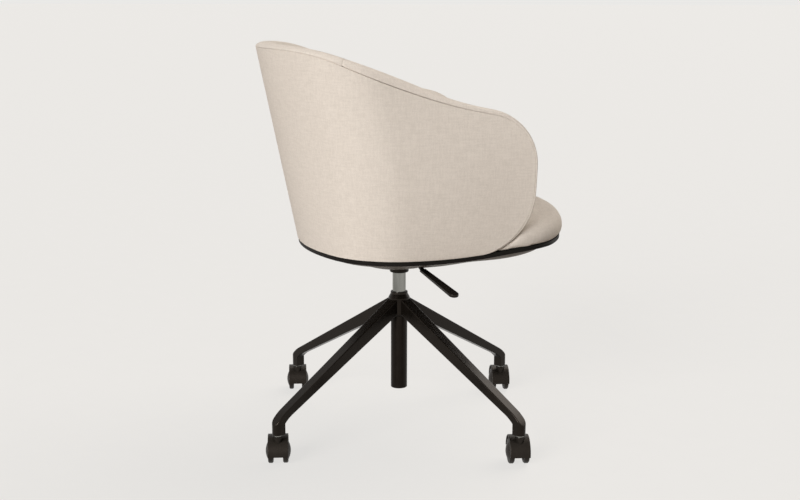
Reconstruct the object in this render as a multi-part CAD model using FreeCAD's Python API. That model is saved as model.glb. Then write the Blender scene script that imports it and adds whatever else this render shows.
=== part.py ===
"""Upholstered tub chair on a gas column, with a four-leg swivel base and twin-wheel castors.

Millimetres, +Z up, origin on the floor under the column's axis.  The chair faces -Y.
"""
import FreeCAD
import Part
import math
import os

V = FreeCAD.Vector
UP = V(0, 0, 1)
ORIGIN = V(0, 0, 0)

# Clearances
RUN = 0.05            # radial, a shaft that turns or slides in a hole
SEAT_FIT = 0.02       # radial, a piece pressed or glued into another
SOFT_GAP = 0.3        # between soft or curved pieces
PLAY = 0.6            # between the lever and the release pin

# Seat outline at the board, seen from above: distances from the column and the rounds between them
BOARD_HALF = 262.0
BOARD_BACK = 208.0
BOARD_NOSE = 328.0
TUB_NOSE = 385.0
TUB_OVERHANG = 4.0
BACK_ROUND = 400.0
CORNER_ROUND = 150.0
FRONT_ROUND = 110.0
NOSE_ROUND = 380.0

# Seat board, bent up towards the front
BOARD_THICK = 8.0
BEND_START = -20.0
BEND_MID = 150.0
BEND_END = 270.0
BEND_MID_RISE = 14.0
BEND_END_RISE = 22.0

# Tub: its lean at the back, its height above the board, and how far its sides stand out at each height
TUB_LEAN = 0.203
TUB_RISE = 388.0
TOP_FLARE = 27.0
TUB_FORM = ((-21.0, -1.4), (87.0, 19.0), (174.0, 28.0), (285.0, TOP_FLARE))

# Tub's layers from outside to inside, and the roll of the inner pad over the rim
PANEL_INSET = 2.0
PANEL_THICK = 8.0
SHELL_THICK = 9.0
PAD_THICK = 36.0
RIM_ROLL_BACK = 8.5
RIM_ROLL_SHOULDER = 15.5
RIM_ROLL_ARM = 9.0
RIM_ROLL_FRONT = 4.5
RIM_EDGE_IN = 16.0
SHELL_BELOW_RIM = 5.0
PAD_SEAM_TURN = 137.0
PAD_SEAM_FORWARD = -86.0
PAD_SEAM_IN = 50.0

# Tub's edge in side view: forward of the column and above the board
SHOULDER = (-165.0, 366.5)
RIM_DIP = (-5.0, 306.0)
ARM_TOP = (120.0, 275.5)
ARM_FRONT = (201.5, 181.0)
ARM_LOW = (200.5, 122.0)
ARM_FOOT = (108.5, 8.0)
RIM_START_SLOPE = 7.8
REAR_MARGIN = 29.0
FOOT_BACK = 60.0
FOOT_DEPTH = 40.0

# Seat cushion: height above the board's flat part, and inset from the board's edge there
CUSHION_FORM = ((-6.0, 6.0), (22.0, -2.0), (38.0, -5.0), (54.0, 0.0), (67.0, 14.0), (75.0, 40.0),
                (80.0, 88.0))

# Underside cover, a shallow dish: height above its floor, and share of the board's outline there
DISH_DEPTH = 62.5
DISH_WALL = 3.0
DISH_FORM = ((80.5, 0.97), (51.5, 0.92), (31.0, 0.68), (15.0, 0.44), (3.5, 0.24), (0.0, 0.12))
DISH_TILT = 2.1
DISH_SCREW_X = 105.0
DISH_SCREW_Y = 95.0
DISH_SCREW_SINK = 1.5
DISH_BOSS_WALL = 2.4
DISH_HOLE_GAP = 2.0

# Screws
SCREW_R = 1.8
SCREW_HEAD_R = 3.6
SCREW_HEAD = 2.5
SCREW_BITE = 12.0
SCREW_RECESS = 0.6
COVER_SCREW_BITE = 6.0
SIDE_SCREWS = (-20.0, 30.0, 80.0)
BACK_SCREW_TURNS = (-20.0, 0.0, 20.0)
FOOT_SPREAD = 4.5

# Seat plate and its bolts
PLATE_X = 170.0
PLATE_Y = 150.0
PLATE_THICK = 4.0
PLATE_BACK = 40.0
PLATE_CORNER = 12.0
PLATE_BOLT_X = 120.0
PLATE_BOLT_Y = 100.0
BOLT_R = 3.0
BOLT_HEAD_R = 5.5
BOLT_HEAD = 4.0
NUT_WALL = 1.5
NUT_BELOW = 0.5

# Mechanism housing and its collar
COLLAR_WALL = 6.0
COLLAR_DROP = 76.0
COLLAR_ROUND = 3.0
HOUSING_BACK = 26.0
HOUSING_FRONT = 48.0
HOUSING_HALF = 24.0
HOUSING_CORNER = 6.0
HOUSING_GRIP = 9.0
CHANNEL_HALF = 9.0
CHANNEL_DEPTH = 17.0
CHANNEL_BACK = 14.0

# Release lever, in the upright plane that it lies in: distance from the column and drop below the board
LEVER_TURN = 195.7
LEVER_PIVOT_OUT = 34.0
LEVER_PIVOT_DROP = 7.5
LEVER_PIVOT_R = 3.0
LEVER_BOSS_WALL = 3.5
LEVER_FINGER_END = -6.0
LEVER_FINGER_THICK = 5.0
LEVER_FINGER_HALF = 7.0
LEVER_ARM_HALF = 4.0
LEVER_ARM_THICK = 4.0
LEVER_BEND_OUT = 104.0
LEVER_BEND_DROP = 53.0
LEVER_TIP_OUT = 240.0
LEVER_TIP_DROP = 78.0
PADDLE_SIDE = 2.5
PADDLE_TIP_HALF = 10.0
PADDLE_THICK = 7.0
PADDLE_EDGE = 2.1
PADDLE_TIP_GAP = 60.0
SLOT_SIDE = 6.5
SLOT_BEHIND = 44.0
SLOT_AHEAD = 20.0

# Gas spring, and how far it lowers and lifts the seat
LIFT_DOWN = 35.0
LIFT_UP = 55.0
CYLINDER_R = 14.0
CYLINDER_WALL = 2.0
CYLINDER_CLEAR = 3.9
COLLAR_CLEAR = 6.0
GLAND_LENGTH = 15.0
VALVE_LENGTH = 30.0
ROD_R = 5.0
ROD_NECK = 1.5
ROD_BELOW_FLOOR = 4.0
PISTON_LENGTH = 12.0
PISTON_CLEAR = 4.0
PISTON_GROOVE = 4.0
PIN_R = 3.5
PIN_LENGTH = 31.0

# Column tube and what it holds
TUBE_WALL = 1.85
TUBE_LENGTH = 205.0
TUBE_ABOVE_STUB = 23.1
TUBE_EDGE = 1.5
FLOOR_RAISE = 6.0
FLOOR_THICK = 4.0
WASHER_WIDTH = 7.0
WASHER_THICK = 2.0
BALL_R = 2.0
BALL_COUNT = 12
BALL_GAP = 0.05
FLANGE_LIP = 2.5
FLANGE_THICK = 4.0
BUFFER_WALL = 6.0
BUFFER_LENGTH = 12.0
CLIP_WIDTH = 3.5
CLIP_THICK = 2.0
CLIP_OPENING = 3.0
BUSH_WALL = 1.33
BUSH_LIP = 0.75
BUSH_FLANGE = 5.0
BUSH_EDGE = 1.5
BUSH_LENGTH = 70.0

# Base: hub and legs, turned away from the seat's own direction
BASE_TURN = -11.5
LEG_COUNT = 4
HUB_WALL = 5.2
HUB_LENGTH = 47.0
HUB_CHAMFER = 4.0
SWIVEL_R = 334.6
LEG_TOP_ABOVE_TUBE = 1.0
LEG_LOW_ABOVE_HUB = 13.0
LEG_TOP_END_RISE = 46.1
LEG_LOW_END_RISE = 36.1
LEG_TOP_BEND = 16.6
LEG_LOW_BEND = 31.6
LEG_ROOT_HALF = 13.0
LEG_EDGE = 2.2
STUB_WALL = 3.3
STUB_LENGTH = 20.1
WELD_GAP = 0.1

# Castors
CASTOR_TURN = -7.5
TRAIL = 18.0
WHEEL_R = 25.0
WHEEL_WIDTH = 15.2
WHEEL_SIDE_GAP = 0.6
WHEEL_DOME = 5.0
WHEEL_EDGE = 2.0
WHEEL_SKIN = 2.5
WHEEL_CAP_R = 2.0
WHEEL_TYRE = 4.5
WHEEL_HUB_WALL = 4.5
WHEEL_RECESS = 1.5
WHEEL_GROOVE = 0.8
WHEEL_GROOVE_WIDTH = 2.0
AXLE_R = 3.0
AXLE_END_GAP = 0.5
WHEEL_ROOM = 4.9
HOOD_WALL = 2.6
HOOD_HALF = 20.0
HOOD_EDGE = 1.2
HOOD_WEB_HALF = 8.9
HOOD_WEB_BACK = 6.0
HOOD_WEB_DROP = 6.0
HOOD_LOW_NEAR = 21.0
HOOD_LOW_FAR = 27.0
HOOD_FAR_START = 2.0
AXLE_BOSS_WALL = 6.0
BOSS_RISE = 3.5
BOSS_WALL = 5.5
BOSS_FOOT_WALL = 1.0
BOSS_LENGTH = 16.0
STEM_R = 5.0
STEM_REACH = 17.0
STEM_END_GAP = 0.5
STEM_FLANGE = 2.5
STEM_FLANGE_LIP = 3.5
STEM_FLANGE_GAP = 0.4
SOCKET_WALL = 2.5
SOCKET_LENGTH = 16.0

# Radii that follow from these sizes
CYLINDER_BORE = CYLINDER_R - CYLINDER_WALL
TUBE_BORE = CYLINDER_R + RUN + BUSH_WALL + SEAT_FIT
TUBE_R = TUBE_BORE + TUBE_WALL
HUB_R = TUBE_R + SEAT_FIT + HUB_WALL
COLLAR_R = CYLINDER_R + SEAT_FIT + COLLAR_WALL
BEARING_R = ROD_R + WASHER_WIDTH
SOCKET_R = STEM_R + SOCKET_WALL
STUB_R = SOCKET_R + STUB_WALL
HOOD_INNER = WHEEL_R + WHEEL_ROOM
HOOD_R = HOOD_INNER + HOOD_WALL
BOSS_R = STEM_R + BOSS_WALL

# Heights above the floor that follow from them, from the castors up to the seat
HOOD_TOP = WHEEL_R + HOOD_R + BOSS_RISE
STUB_BOTTOM = HOOD_TOP + STEM_FLANGE_GAP + STEM_FLANGE
SOCKET_TOP = STUB_BOTTOM + SOCKET_LENGTH
TUBE_BOTTOM = STUB_BOTTOM + TUBE_ABOVE_STUB
TUBE_TOP = TUBE_BOTTOM + TUBE_LENGTH
FLOOR_BOTTOM = TUBE_BOTTOM + FLOOR_RAISE
FLOOR_TOP = FLOOR_BOTTOM + FLOOR_THICK
TOP_WASHER = FLOOR_TOP + WASHER_THICK + 2 * BALL_R + 2 * BALL_GAP
ROD_FLANGE = TOP_WASHER + WASHER_THICK
BUFFER_BOTTOM = ROD_FLANGE + FLANGE_THICK
CYLINDER_BOTTOM = BUFFER_BOTTOM + BUFFER_LENGTH + LIFT_DOWN + CYLINDER_CLEAR
PISTON_BOTTOM = CYLINDER_BOTTOM + GLAND_LENGTH + LIFT_UP + PISTON_CLEAR
COLLAR_BOTTOM = TUBE_TOP + BUSH_FLANGE + LIFT_DOWN + COLLAR_CLEAR
BOARD_TOP = COLLAR_BOTTOM + COLLAR_DROP
PLATE_TOP = BOARD_TOP - BOARD_THICK
PLATE_LOW = PLATE_TOP - PLATE_THICK
CYLINDER_TOP = PLATE_LOW - CHANNEL_DEPTH
HOUSING_FLOOR = CYLINDER_TOP - HOUSING_GRIP
DISH_BOTTOM = BOARD_TOP - DISH_DEPTH
LEVER_PIVOT = (LEVER_PIVOT_OUT, PLATE_LOW - LEVER_PIVOT_DROP)
LEVER_BEND = (LEVER_BEND_OUT, BOARD_TOP - LEVER_BEND_DROP)
LEVER_TIP = (LEVER_TIP_OUT, BOARD_TOP - LEVER_TIP_DROP)

# Extents of the cutting bodies that are larger than the chair, and what counts as touching
FAR = 450.0
HIGH = 900.0
OUTSIDE = 40.0
TOUCH = 0.01


def side(forward, height, across=0.0):
    """A point given as forward distance, height and distance to the left."""
    return V(across, -forward, height)


def turned(shape, degrees):
    """The shape turned about the column's axis."""
    copy = shape.copy()
    copy.rotate(ORIGIN, UP, degrees)
    return copy


def at(shape, place):
    """A copy of the shape moved by a vector."""
    copy = shape.copy()
    copy.translate(place)
    return copy


def group(shapes):
    """Separate solids held in one piece."""
    return Part.makeCompound(shapes)


def disc(radius, bottom, top, centre=ORIGIN):
    return Part.makeCylinder(radius, top - bottom, V(centre.x, centre.y, bottom), UP)


def ring(outer, inner, bottom, top, centre=ORIGIN):
    return disc(outer, bottom, top, centre).cut(disc(inner, bottom - 1, top + 1, centre))


def block(x_range, y_range, z_range):
    size = [r[1] - r[0] for r in (x_range, y_range, z_range)]
    return Part.makeBox(size[0], size[1], size[2], V(x_range[0], y_range[0], z_range[0]))


def arc_points(chain, slope):
    """Tangent arcs through points in a plane, from a first direction in degrees.

    Gives each arc as its start, middle and end.
    """
    arcs = []
    heading = math.radians(slope)
    for start, end in zip(chain, chain[1:]):
        chord = math.atan2(end[1] - start[1], end[0] - start[0])
        half_turn = (chord - heading + math.pi) % (2 * math.pi) - math.pi
        length = math.dist(start, end)
        bulge = length / 2 * math.tan(half_turn / 2)
        middle = ((start[0] + end[0]) / 2 + bulge * math.sin(chord),
                  (start[1] + end[1]) / 2 - bulge * math.cos(chord))
        arcs.append((start, middle, end))
        heading = chord + half_turn
    return arcs


def arc_edges(chain, slope):
    """The same arcs as edges in the chair's side view."""
    return [Part.Arc(side(*a), side(*m), side(*b)).toShape() for a, m, b in arc_points(chain, slope)]


def slab(edges, closing):
    """A side-view outline, closed through further points, pushed across the whole chair."""
    first = edges[0].Vertexes[0].Point
    last = edges[-1].Vertexes[-1].Point
    corners = [last] + [side(*p) for p in closing] + [first]
    straight = [Part.makeLine(a, b) for a, b in zip(corners, corners[1:])]
    face = Part.Face(Part.Wire(edges + straight))
    return at(face, V(-FAR, 0, 0)).extrude(V(2 * FAR, 0, 0))


# Seat outline

def outline(height, back, half, nose, inset):
    """The seat's closed outline at one height, drawn in by an inset."""
    back, half, nose = back - inset, half - inset, nose - inset
    r_back, r_corner = BACK_ROUND - inset, CORNER_ROUND - inset
    r_front, r_nose = FRONT_ROUND - inset, NOSE_ROUND - inset
    return round_outline(height, back, half, nose, r_back, r_corner, r_front, r_nose)


def round_outline(height, back, half, nose, r_back, r_corner, r_front, r_nose):
    """Back arc, corner arcs, straight sides, front arcs and nose arc, all tangent."""
    back_mid = r_back - back
    corner_mid = back_mid - math.sqrt((r_back - r_corner) ** 2 - (half - r_corner) ** 2)
    nose_mid = nose - r_nose
    front_mid = nose_mid + math.sqrt((r_nose - r_front) ** 2 - (half - r_front) ** 2)
    back_turn = math.atan2(half - r_corner, corner_mid - back_mid)
    nose_turn = math.atan2(half - r_front, front_mid - nose_mid)

    def on(mid, across, radius, turn, sign):
        return side(mid + radius * math.cos(turn), height, sign * (across + radius * math.sin(turn)))

    edges = [Part.Arc(on(back_mid, 0, r_back, back_turn, -1), side(-back, height),
                      on(back_mid, 0, r_back, back_turn, 1)).toShape()]
    quarter = math.pi / 2

    def flank(sign):
        corner = [on(corner_mid, half - r_corner, r_corner, t, sign)
                  for t in (back_turn, (back_turn + quarter) / 2, quarter)]
        front = [on(front_mid, half - r_front, r_front, t, sign)
                 for t in (quarter, (quarter + nose_turn) / 2, nose_turn)]
        return [Part.Arc(*corner).toShape(), Part.makeLine(corner[2], front[0]), Part.Arc(*front).toShape()]

    nose_arc = Part.Arc(on(nose_mid, 0, r_nose, nose_turn, 1), side(nose, height),
                        on(nose_mid, 0, r_nose, nose_turn, -1)).toShape()
    return Part.Wire(Part.__sortEdges__(edges + flank(1) + [nose_arc] + flank(-1)))


def board_prism(inset, bottom, top):
    wire = outline(bottom, BOARD_BACK, BOARD_HALF, BOARD_NOSE, inset)
    return Part.Face(wire).extrude(V(0, 0, top - bottom))


def tub_body(inset):
    """The tub's flared outside, drawn in by an inset, as a solid over the whole outline."""
    above_rim = TUB_RISE + 2 * RIM_ROLL_SHOULDER
    wires = []
    for rise, flare in TUB_FORM + ((above_rim, TOP_FLARE),):
        back = BOARD_BACK + TUB_OVERHANG + TUB_LEAN * rise
        wires.append(outline(BOARD_TOP + rise, back, BOARD_HALF + flare, TUB_NOSE, inset))
    return Part.makeLoft(wires, True, False)


def tub_slab(roll_back, roll_shoulder, roll_arm, roll_front):
    """Everything behind and below the tub's edge, moved out by the roll of its rim."""
    rear = -(BOARD_BACK + TUB_OVERHANG + TUB_LEAN * TUB_RISE + REAR_MARGIN)
    chain = [(rear, TUB_RISE + roll_back),
             (SHOULDER[0], SHOULDER[1] + roll_shoulder),
             (RIM_DIP[0], RIM_DIP[1] + roll_shoulder),
             (ARM_TOP[0], ARM_TOP[1] + roll_arm),
             (ARM_FRONT[0] + roll_front, ARM_FRONT[1]),
             (ARM_LOW[0] + roll_front, ARM_LOW[1]),
             (ARM_FOOT[0] + roll_front, ARM_FOOT[1])]
    lifted = [(forward, BOARD_TOP + rise) for forward, rise in chain]
    foot = BOARD_TOP - FOOT_DEPTH
    closing = [(lifted[-1][0] - FOOT_BACK, foot), (rear, foot)]
    return slab(arc_edges(lifted, RIM_START_SLOPE), closing)


def even_slab(growth):
    """The same, moved out equally all along the edge."""
    return tub_slab(growth, growth, growth, growth)


def rim_slab(growth):
    """The same out to the rolled rim, and a growth beyond it."""
    rolls = (RIM_ROLL_BACK, RIM_ROLL_SHOULDER, RIM_ROLL_ARM, RIM_ROLL_FRONT)
    return tub_slab(*[roll + growth for roll in rolls])


def bend_edges(drop):
    """The board's upper face in side view, moved down by a drop."""
    flat = BOARD_TOP - drop
    chain = [(BEND_START, flat), (BEND_MID, flat + BEND_MID_RISE), (BEND_END, flat + BEND_END_RISE)]
    arcs = arc_edges(chain, 0.0)
    run = Part.makeLine(side(-FAR, flat), side(BEND_START, flat))
    end_slope = (2 * math.atan2(BEND_END_RISE - BEND_MID_RISE, BEND_END - BEND_MID)
                 - 2 * math.atan2(BEND_MID_RISE, BEND_MID - BEND_START))
    beyond = FAR - BEND_END
    tail = Part.makeLine(side(*chain[-1]), side(FAR, chain[-1][1] + beyond * math.tan(end_slope)))
    return [run] + arcs + [tail]


def board_rise(forward):
    """How far the board's first bend lifts it at a place."""
    if forward <= BEND_START:
        return 0.0
    chord = math.atan2(BEND_MID_RISE, BEND_MID - BEND_START)
    radius = math.dist((BEND_START, 0), (BEND_MID, BEND_MID_RISE)) / (2 * math.sin(chord))
    return radius - math.sqrt(radius ** 2 - (forward - BEND_START) ** 2)


def above_board(gap):
    return slab(bend_edges(-gap), [(FAR, HIGH), (-FAR, HIGH)])


def below_board(gap):
    return slab(bend_edges(BOARD_THICK + gap), [(FAR, 0), (-FAR, 0)])


def wall(outer_inset, inner_inset):
    return tub_body(outer_inset).cut(tub_body(inner_inset))


# Depths of the tub's layers below its outside

def panel_inside():
    return PANEL_INSET + PANEL_THICK


def shell_outside():
    return panel_inside() + SOFT_GAP


def shell_inside():
    return shell_outside() + SHELL_THICK


def pad_inside():
    return shell_inside() + PAD_THICK


# Fixing places under the seat

def plate_bolt_places():
    half_x, half_y = PLATE_BOLT_X / 2, PLATE_BOLT_Y / 2
    return [V(x, PLATE_BACK + y, 0) for x in (-half_x, half_x) for y in (-half_y, half_y)]


def dish_screw_places():
    return [V(x, y, 0) for x in (-DISH_SCREW_X, DISH_SCREW_X) for y in (-DISH_SCREW_Y, DISH_SCREW_Y)]


def tub_screw_places():
    """Along the middle of the shell's foot: on each side and at the back."""
    middle = (shell_outside() + shell_inside()) / 2
    half = BOARD_HALF + FOOT_SPREAD - middle
    back_mid = BACK_ROUND - BOARD_BACK - TUB_OVERHANG
    radius = BACK_ROUND - middle + TUB_LEAN * SCREW_BITE / 2
    places = [side(forward, 0, sign * half) for sign in (-1, 1) for forward in SIDE_SCREWS]
    for turn in BACK_SCREW_TURNS:
        angle = math.radians(180 + turn)
        places.append(side(back_mid + radius * math.cos(angle), 0, radius * math.sin(angle)))
    return places


def tub_screw(place, clearance):
    """A countersunk screw from the board's underside up into the shell."""
    lift = board_rise(-place.y)
    low = PLATE_TOP + lift + SCREW_RECESS
    foot = V(place.x, place.y, low)
    head = Part.makeCone(SCREW_HEAD_R + clearance, SCREW_R + clearance, SCREW_HEAD, foot, UP)
    return head.fuse(disc(SCREW_R + clearance, low, BOARD_TOP + lift + SCREW_BITE + clearance, place))


# Seat pieces

def make_seat_board():
    bent = slab(bend_edges(0), [(FAR, 0), (-FAR, 0)]).cut(below_board(0))
    board = board_prism(0, BOARD_TOP - FOOT_DEPTH, BOARD_TOP + FOOT_DEPTH).common(bent)
    for place in plate_bolt_places():
        board = board.cut(disc(BOLT_R + NUT_WALL + SEAT_FIT, 0, HIGH, place))
    for place in dish_screw_places():
        board = board.cut(disc(SCREW_R + RUN, 0, HIGH, place))
    for place in tub_screw_places():
        mouth = PLATE_TOP + board_rise(-place.y) + SCREW_RECESS
        board = board.cut(tub_screw(place, RUN)).cut(disc(SCREW_HEAD_R + RUN, 0, mouth, place))
    return board


def make_tub_panel():
    return wall(PANEL_INSET, panel_inside()).common(even_slab(0)).common(above_board(SOFT_GAP))


def make_tub_shell():
    shell = wall(shell_outside(), shell_inside()).common(even_slab(-SHELL_BELOW_RIM))
    shell = shell.common(above_board(SOFT_GAP))
    for place in tub_screw_places():
        shell = shell.cut(tub_screw(place, SEAT_FIT))
    return shell


def tub_pad():
    """The whole inner pad, whose cover rolls over the rim to the edge of the outer panel."""
    pad = wall(PANEL_INSET, pad_inside()).common(rim_slab(0)).common(above_board(SOFT_GAP))
    pad = pad.cut(wall(-OUTSIDE, shell_inside() + SOFT_GAP).common(even_slab(SOFT_GAP))).Solids[0]
    return pad.makeFillet(RIM_EDGE_IN, rim_edges(pad))


def ahead_of_seam(sign, gap):
    """Everything ahead of the upright seam in one back corner, less a gap."""
    heading = PAD_SEAM_TURN - 180 if sign > 0 else -PAD_SEAM_TURN
    corner = side(PAD_SEAM_FORWARD, 0, sign * (BOARD_HALF - PAD_SEAM_IN))
    return at(turned(block((gap, 2 * FAR), (-FAR, FAR), (0, HIGH)), heading), corner)


def make_back_pad(pad):
    return pad.cut(ahead_of_seam(1, 0)).cut(ahead_of_seam(-1, 0))


def make_side_pad(pad, sign):
    return pad.common(ahead_of_seam(sign, SOFT_GAP))


def rim_edges(pad):
    """The pad's edges between its inner face and its rim, down to the arms' fronts."""
    flank = tub_body(pad_inside()).Shells[0]
    rim = rim_slab(0).Shells[0]
    edges = []
    for edge in pad.Edges:
        middle = Part.Vertex(edge.valueAt((edge.FirstParameter + edge.LastParameter) / 2))
        if middle.Z < BOARD_TOP + ARM_LOW[1]:
            continue
        if middle.distToShape(flank)[0] < TOUCH and middle.distToShape(rim)[0] < TOUCH:
            edges.append(edge)
    return edges


def make_seat_cushion():
    wires = []
    for rise, inset in CUSHION_FORM:
        wires.append(outline(BOARD_TOP + rise, BOARD_BACK, BOARD_HALF, BOARD_NOSE, inset))
    body = Part.makeLoft(wires, True, False).common(above_board(SOFT_GAP))
    return body.cut(wall(-OUTSIDE, pad_inside() + SOFT_GAP).common(rim_slab(SOFT_GAP)))


def dish_loft(wall_thick):
    wires = []
    for rise, share in DISH_FORM:
        scale = share - wall_thick / BOARD_HALF
        sizes = [scale * size for size in (BOARD_BACK, BOARD_HALF, BOARD_NOSE, BACK_ROUND, CORNER_ROUND,
                                           FRONT_ROUND, NOSE_ROUND)]
        level = DISH_BOTTOM + wall_thick + rise
        wire = round_outline(level, *sizes)
        wire.rotate(side(-sizes[0], level), V(1, 0, 0), -DISH_TILT)
        wires.append(wire)
    return Part.makeLoft(wires, True, False)


def in_lever_plane(shape):
    """From the plane of +X and +Z to the lever's own direction."""
    return turned(shape, LEVER_TURN)


def paddle_root_half():
    return LEVER_ARM_HALF + PADDLE_SIDE


def cover_screw_shoulders(outside):
    """Height of the ledge that each cover screw's head bears on, sunk below the dish's outside there."""
    shoulders = []
    for place in dish_screw_places():
        below = Part.makeLine(V(place.x, place.y, 0), V(place.x, place.y, PLATE_TOP)).common(outside)
        shoulders.append(below.BoundBox.ZMin + DISH_SCREW_SINK + SCREW_HEAD)
    return shoulders


def dish_outside():
    return dish_loft(0).common(below_board(SOFT_GAP))


def make_underside_cover():
    outside = dish_outside()
    cover = outside.cut(dish_loft(DISH_WALL))
    for place, shoulder in zip(dish_screw_places(), cover_screw_shoulders(outside)):
        boss = disc(SCREW_HEAD_R + DISH_BOSS_WALL, DISH_BOTTOM, BOARD_TOP + FOOT_DEPTH, place)
        cover = cover.fuse(boss.common(outside))
        cover = cover.cut(disc(SCREW_R + RUN, 0, HIGH, place))
        cover = cover.cut(disc(SCREW_HEAD_R + RUN, 0, shoulder, place))
    cover = cover.cut(disc(COLLAR_R + DISH_HOLE_GAP, 0, HOUSING_FLOOR))
    half = paddle_root_half() + SLOT_SIDE
    slot = block((LEVER_BEND_OUT - SLOT_BEHIND, LEVER_BEND_OUT + SLOT_AHEAD), (-half, half), (0, PLATE_TOP))
    return cover.cut(in_lever_plane(slot)).removeSplitter()


def make_cover_screws():
    screws = []
    for place, shoulder in zip(dish_screw_places(), cover_screw_shoulders(dish_outside())):
        head = disc(SCREW_HEAD_R, shoulder - SCREW_HEAD, shoulder, place)
        tip = PLATE_TOP + board_rise(-place.y) + COVER_SCREW_BITE
        screws.append(head.fuse(disc(SCREW_R, shoulder - SCREW_HEAD, tip, place)).removeSplitter())
    return group(screws)


def make_tub_screws():
    return group([tub_screw(place, 0).removeSplitter() for place in tub_screw_places()])


def make_seat_plate():
    x, y = PLATE_X / 2, PLATE_Y / 2
    plate = block((-x, x), (PLATE_BACK - y, PLATE_BACK + y), (PLATE_LOW, PLATE_TOP))
    plate = plate.makeFillet(PLATE_CORNER, upright_edges(plate))
    for place in plate_bolt_places():
        plate = plate.cut(disc(BOLT_R + RUN, 0, HIGH, place))
    return plate


def upright_edges(shape):
    return [e for e in shape.Edges if abs(e.tangentAt(e.FirstParameter).z) > 1 - TOUCH]


def rim_circles(shape, height):
    """The round edges that lie level at a height."""
    return [e for e in shape.Edges if e.BoundBox.ZLength < TOUCH and abs(e.BoundBox.ZMin - height) < TOUCH]


def make_plate_bolts():
    bolts = []
    for place in plate_bolt_places():
        head = disc(BOLT_HEAD_R, PLATE_LOW - BOLT_HEAD, PLATE_LOW, place)
        shank = disc(BOLT_R, PLATE_LOW - BOLT_HEAD, BOARD_TOP - 2 * NUT_BELOW, place)
        bolts.append(head.fuse(shank).removeSplitter())
    return group(bolts)


def make_board_nuts():
    return group([ring(BOLT_R + NUT_WALL, BOLT_R + SEAT_FIT, PLATE_TOP, BOARD_TOP - NUT_BELOW, place)
                  for place in plate_bolt_places()])


def make_mechanism_housing():
    collar = disc(COLLAR_R, COLLAR_BOTTOM, CYLINDER_TOP)
    collar = collar.makeFillet(COLLAR_ROUND, rim_circles(collar, COLLAR_BOTTOM))
    box = block((-HOUSING_BACK, HOUSING_FRONT), (-HOUSING_HALF, HOUSING_HALF), (HOUSING_FLOOR, PLATE_LOW))
    box = box.makeFillet(HOUSING_CORNER, upright_edges(box))
    channel = block((-CHANNEL_BACK, 2 * HOUSING_FRONT), (-CHANNEL_HALF, CHANNEL_HALF), (CYLINDER_TOP, HIGH))
    body = in_lever_plane(box.fuse(collar).cut(channel).cut(pivot_cylinder(LEVER_PIVOT_R + SEAT_FIT, FAR)))
    return body.cut(disc(CYLINDER_R + SEAT_FIT, 0, CYLINDER_TOP)).removeSplitter()


def pivot_cylinder(radius, half_length):
    start = V(LEVER_PIVOT[0], -half_length, LEVER_PIVOT[1])
    return Part.makeCylinder(radius, 2 * half_length, start, V(0, 1, 0))


def make_lever_pivot():
    return in_lever_plane(pivot_cylinder(LEVER_PIVOT_R, HOUSING_HALF - SOFT_GAP))


def bar(a, b, half, thick):
    """A flat bar between two places in the lever's plane."""
    run = math.atan2(b[1] - a[1], b[0] - a[0])
    piece = block((0, math.dist(a, b)), (-half, half), (-thick / 2, thick / 2))
    piece.rotate(ORIGIN, V(0, -1, 0), math.degrees(run))
    return at(piece, V(a[0], 0, a[1]))


def make_lever_arm(grow=0.0):
    """Finger over the release pin, boss on the pivot, and the bent arm that carries the paddle."""
    half = LEVER_ARM_HALF + grow
    thick = LEVER_ARM_THICK + 2 * grow
    finger = bar((LEVER_FINGER_END, LEVER_PIVOT[1]), LEVER_PIVOT, LEVER_FINGER_HALF, LEVER_FINGER_THICK)
    boss = pivot_cylinder(LEVER_PIVOT_R + LEVER_BOSS_WALL, LEVER_FINGER_HALF)
    drop = bar(LEVER_PIVOT, LEVER_BEND, half, thick)
    knee = Part.makeCylinder(thick / 2, 2 * half, V(LEVER_BEND[0], -half, LEVER_BEND[1]), V(0, 1, 0))
    run = bar(LEVER_BEND, along(LEVER_BEND, LEVER_TIP, -PADDLE_TIP_GAP), half, thick)
    arm = finger.fuse(boss).fuse(drop).fuse(knee).fuse(run)
    return in_lever_plane(arm.cut(pivot_cylinder(LEVER_PIVOT_R + RUN, FAR)).removeSplitter())


def along(a, b, beyond):
    """The place on the line from a to b that lies beyond b by a length."""
    share = 1 + beyond / math.dist(a, b)
    return (a[0] + (b[0] - a[0]) * share, a[1] + (b[1] - a[1]) * share)


def make_lever_paddle():
    """Flat handle that widens to a round tip, sleeved over the arm."""
    length = math.dist(LEVER_BEND, LEVER_TIP)
    root, tip = paddle_root_half(), PADDLE_TIP_HALF
    plan = [Part.makeLine(V(0, root, 0), V(length - tip, tip, 0)),
            Part.Arc(V(length - tip, tip, 0), V(length, 0, 0), V(length - tip, -tip, 0)).toShape(),
            Part.makeLine(V(length - tip, -tip, 0), V(0, -root, 0)),
            Part.makeLine(V(0, -root, 0), V(0, root, 0))]
    flat = at(Part.Face(Part.Wire(plan)), V(0, 0, -PADDLE_THICK / 2)).extrude(V(0, 0, PADDLE_THICK))
    rims = [e for e in flat.Edges if e.BoundBox.ZLength < TOUCH]
    flat = flat.makeFillet(min(PADDLE_EDGE, 0.4 * PADDLE_THICK), rims)
    run = math.atan2(LEVER_TIP[1] - LEVER_BEND[1], LEVER_TIP[0] - LEVER_BEND[0])
    flat.rotate(ORIGIN, V(0, -1, 0), math.degrees(run))
    paddle = in_lever_plane(at(flat, V(LEVER_BEND[0], 0, LEVER_BEND[1])))
    return paddle.cut(make_lever_arm(SEAT_FIT))


# Gas spring and column

def make_gas_cylinder():
    return ring(CYLINDER_R, CYLINDER_BORE, CYLINDER_BOTTOM, CYLINDER_TOP)


def make_rod_gland():
    return ring(CYLINDER_BORE - SEAT_FIT, ROD_R + RUN, CYLINDER_BOTTOM, CYLINDER_BOTTOM + GLAND_LENGTH)


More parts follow.
